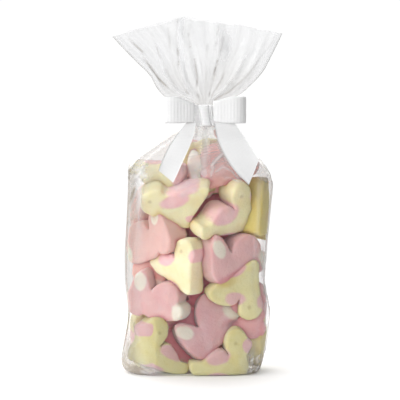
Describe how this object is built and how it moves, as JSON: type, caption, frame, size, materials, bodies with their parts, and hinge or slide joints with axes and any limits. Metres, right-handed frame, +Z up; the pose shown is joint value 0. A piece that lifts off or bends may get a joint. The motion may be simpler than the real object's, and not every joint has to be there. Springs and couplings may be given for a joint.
{
  "type": "gift bag of marshmallows",
  "caption": "Upright clear film gift bag filled with chick and rabbit shaped marshmallows, gathered at the neck and tied with a white ribbon bow under an open pleated flare.",
  "frame": {"origin": "middle of the bounding box in plan, on the surface the bag stands on", "axes": "+Z up along the bag's height, -Y is the front with the bow, +X to the right seen from the front"},
  "size_m": [0.1162, 0.0638, 0.2499],
  "materials": {
    "film": "clear crinkled cellophane film",
    "ribbon": "white grosgrain ribbon with fine cross ribs",
    "marshmallow_yellow": "soft powdery pale yellow marshmallow",
    "marshmallow_pink": "soft powdery pale pink marshmallow with cream patches"
  },
  "bodies": {
    "root": {"bag": "film", "neck_tie": "ribbon", "bow_knot": "ribbon", "bow_loop_left": "ribbon", "bow_loop_right": "ribbon", "bow_tail_left": "ribbon", "bow_tail_right": "ribbon"}
  },
  "joints": []
}
